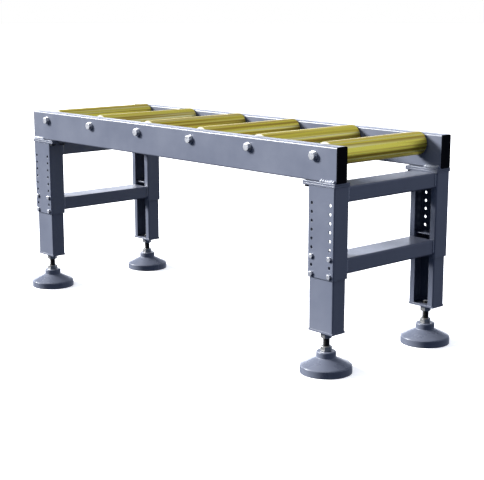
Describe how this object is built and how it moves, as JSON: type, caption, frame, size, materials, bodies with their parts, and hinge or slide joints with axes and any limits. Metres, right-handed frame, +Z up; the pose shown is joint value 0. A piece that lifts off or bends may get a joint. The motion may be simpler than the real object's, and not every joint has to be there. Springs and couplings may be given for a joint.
{
  "type": "roller conveyor",
  "caption": "Free-standing gravity roller conveyor: steel tube rollers between two box rails on telescopic channel legs with cross bars and levelling feet.",
  "frame": {"origin": "on the floor, midway between the rail ends and midway between the rails", "axes": "+X along the rails, +Y from the front rail to the rear rail, +Z up"},
  "size_m": [1.548, 0.591, 0.65],
  "materials": {
    "frame_paint": "slate blue-grey semi-gloss coat over steel",
    "roller_plating": "yellow-olive passivated zinc on drawn steel tube",
    "zinc_fasteners": "bright zinc plate",
    "axle_steel": "bright drawn steel bar",
    "black_plastic": "black moulded polyethylene",
    "bush_plastic": "cream moulded polyamide",
    "stud_black": "black-oxide steel",
    "hex_steel": "dull grey zinc plate"
  },
  "bodies": {
    "frame": {"rail_front": "frame_paint", "rail_rear": "frame_paint", "rail_end_plugs": "black_plastic", "rail_plates": "frame_paint", "leg_top_plates": "frame_paint", "roller_axles": "axle_steel", "axle_bolts": "zinc_fasteners", "axle_washers": "zinc_fasteners", "plate_screws": "stud_black", "axle_spacers": "axle_steel", "leg_outer_front_left": "frame_paint", "leg_outer_front_right": "frame_paint", "leg_outer_rear_left": "frame_paint", "leg_outer_rear_right": "frame_paint", "crossbar_left_upper": "frame_paint", "crossbar_left_lower": "frame_paint", "crossbar_right_upper": "frame_paint", "crossbar_right_lower": "frame_paint"},
    "roller_1": {"roller_tube_1": "roller_plating", "roller_bushes_1": "bush_plastic"},
    "roller_2": {"roller_tube_2": "roller_plating", "roller_bushes_2": "bush_plastic"},
    "roller_3": {"roller_tube_3": "roller_plating", "roller_bushes_3": "bush_plastic"},
    "roller_4": {"roller_tube_4": "roller_plating", "roller_bushes_4": "bush_plastic"},
    "roller_5": {"roller_tube_5": "roller_plating", "roller_bushes_5": "bush_plastic"},
    "roller_6": {"roller_tube_6": "roller_plating", "roller_bushes_6": "bush_plastic"},
    "leg_front_left": {"leg_inner_front_left": "frame_paint", "leg_foot_plate_front_left": "frame_paint", "leg_bolts_front_left": "zinc_fasteners", "foot_nut_front_left": "hex_steel"},
    "foot_front_left": {"foot_pad_front_left": "frame_paint"},
    "stud_front_left": {"foot_stud_front_left": "stud_black", "foot_turning_hex_front_left": "hex_steel"},
    "leg_front_right": {"leg_inner_front_right": "frame_paint", "leg_foot_plate_front_right": "frame_paint", "leg_bolts_front_right": "zinc_fasteners", "foot_nut_front_right": "hex_steel"},
    "foot_front_right": {"foot_pad_front_right": "frame_paint"},
    "stud_front_right": {"foot_stud_front_right": "stud_black", "foot_turning_hex_front_right": "hex_steel"},
    "leg_rear_left": {"leg_inner_rear_left": "frame_paint", "leg_foot_plate_rear_left": "frame_paint", "leg_bolts_rear_left": "zinc_fasteners", "foot_nut_rear_left": "hex_steel"},
    "foot_rear_left": {"foot_pad_rear_left": "frame_paint"},
    "stud_rear_left": {"foot_stud_rear_left": "stud_black", "foot_turning_hex_rear_left": "hex_steel"},
    "leg_rear_right": {"leg_inner_rear_right": "frame_paint", "leg_foot_plate_rear_right": "frame_paint", "leg_bolts_rear_right": "zinc_fasteners", "foot_nut_rear_right": "hex_steel"},
    "foot_rear_right": {"foot_pad_rear_right": "frame_paint"},
    "stud_rear_right": {"foot_stud_rear_right": "stud_black", "foot_turning_hex_rear_right": "hex_steel"}
  },
  "joints": [
    {"name": "roller_1_spin", "type": "hinge", "parent": "frame", "child": "roller_1", "pos_m": [-0.665, 0, 0.615], "axis": [0, 1, 0], "continuous": true},
    {"name": "roller_2_spin", "type": "hinge", "parent": "frame", "child": "roller_2", "pos_m": [-0.399, 0, 0.615], "axis": [0, 1, 0], "continuous": true},
    {"name": "roller_3_spin", "type": "hinge", "parent": "frame", "child": "roller_3", "pos_m": [-0.133, 0, 0.615], "axis": [0, 1, 0], "continuous": true},
    {"name": "roller_4_spin", "type": "hinge", "parent": "frame", "child": "roller_4", "pos_m": [0.133, 0, 0.615], "axis": [0, 1, 0], "continuous": true},
    {"name": "roller_5_spin", "type": "hinge", "parent": "frame", "child": "roller_5", "pos_m": [0.399, 0, 0.615], "axis": [0, 1, 0], "continuous": true},
    {"name": "roller_6_spin", "type": "hinge", "parent": "frame", "child": "roller_6", "pos_m": [0.665, 0, 0.615], "axis": [0, 1, 0], "continuous": true},
    {"name": "leg_front_left_slide", "type": "slide", "parent": "frame", "child": "leg_front_left", "axis": [0, 0, 1], "range_m": [0, 0.15]},
    {"name": "foot_front_left_level", "type": "slide", "parent": "leg_front_left", "child": "foot_front_left", "axis": [0, 0, 1], "range_m": [-0.014, 0.023]},
    {"name": "foot_front_left_turn", "type": "hinge", "parent": "foot_front_left", "child": "stud_front_left", "pos_m": [-0.699, -0.2205, 0.1], "axis": [0, 0, 1], "range_deg": [-2026, 3322]},
    {"name": "leg_front_right_slide", "type": "slide", "parent": "frame", "child": "leg_front_right", "axis": [0, 0, 1], "range_m": [0, 0.15]},
    {"name": "foot_front_right_level", "type": "slide", "parent": "leg_front_right", "child": "foot_front_right", "axis": [0, 0, 1], "range_m": [-0.014, 0.023]},
    {"name": "foot_front_right_turn", "type": "hinge", "parent": "foot_front_right", "child": "stud_front_right", "pos_m": [0.699, -0.2205, 0.1], "axis": [0, 0, 1], "range_deg": [-2026, 3322]},
    {"name": "leg_rear_left_slide", "type": "slide", "parent": "frame", "child": "leg_rear_left", "axis": [0, 0, 1], "range_m": [0, 0.15]},
    {"name": "foot_rear_left_level", "type": "slide", "parent": "leg_rear_left", "child": "foot_rear_left", "axis": [0, 0, 1], "range_m": [-0.014, 0.023]},
    {"name": "foot_rear_left_turn", "type": "hinge", "parent": "foot_rear_left", "child": "stud_rear_left", "pos_m": [-0.699, 0.2205, 0.1], "axis": [0, 0, 1], "range_deg": [-2026, 3322]},
    {"name": "leg_rear_right_slide", "type": "slide", "parent": "frame", "child": "leg_rear_right", "axis": [0, 0, 1], "range_m": [0, 0.15]},
    {"name": "foot_rear_right_level", "type": "slide", "parent": "leg_rear_right", "child": "foot_rear_right", "axis": [0, 0, 1], "range_m": [-0.014, 0.023]},
    {"name": "foot_rear_right_turn", "type": "hinge", "parent": "foot_rear_right", "child": "stud_rear_right", "pos_m": [0.699, 0.2205, 0.1], "axis": [0, 0, 1], "range_deg": [-2026, 3322]}
  ],
  "couplings": [
    {"joint": "foot_front_left_turn", "follows": "foot_front_left_level", "rad_per_m": 2513.3},
    {"joint": "foot_front_right_turn", "follows": "foot_front_right_level", "rad_per_m": 2513.3},
    {"joint": "foot_rear_left_turn", "follows": "foot_rear_left_level", "rad_per_m": 2513.3},
    {"joint": "foot_rear_right_turn", "follows": "foot_rear_right_level", "rad_per_m": 2513.3}
  ]
}
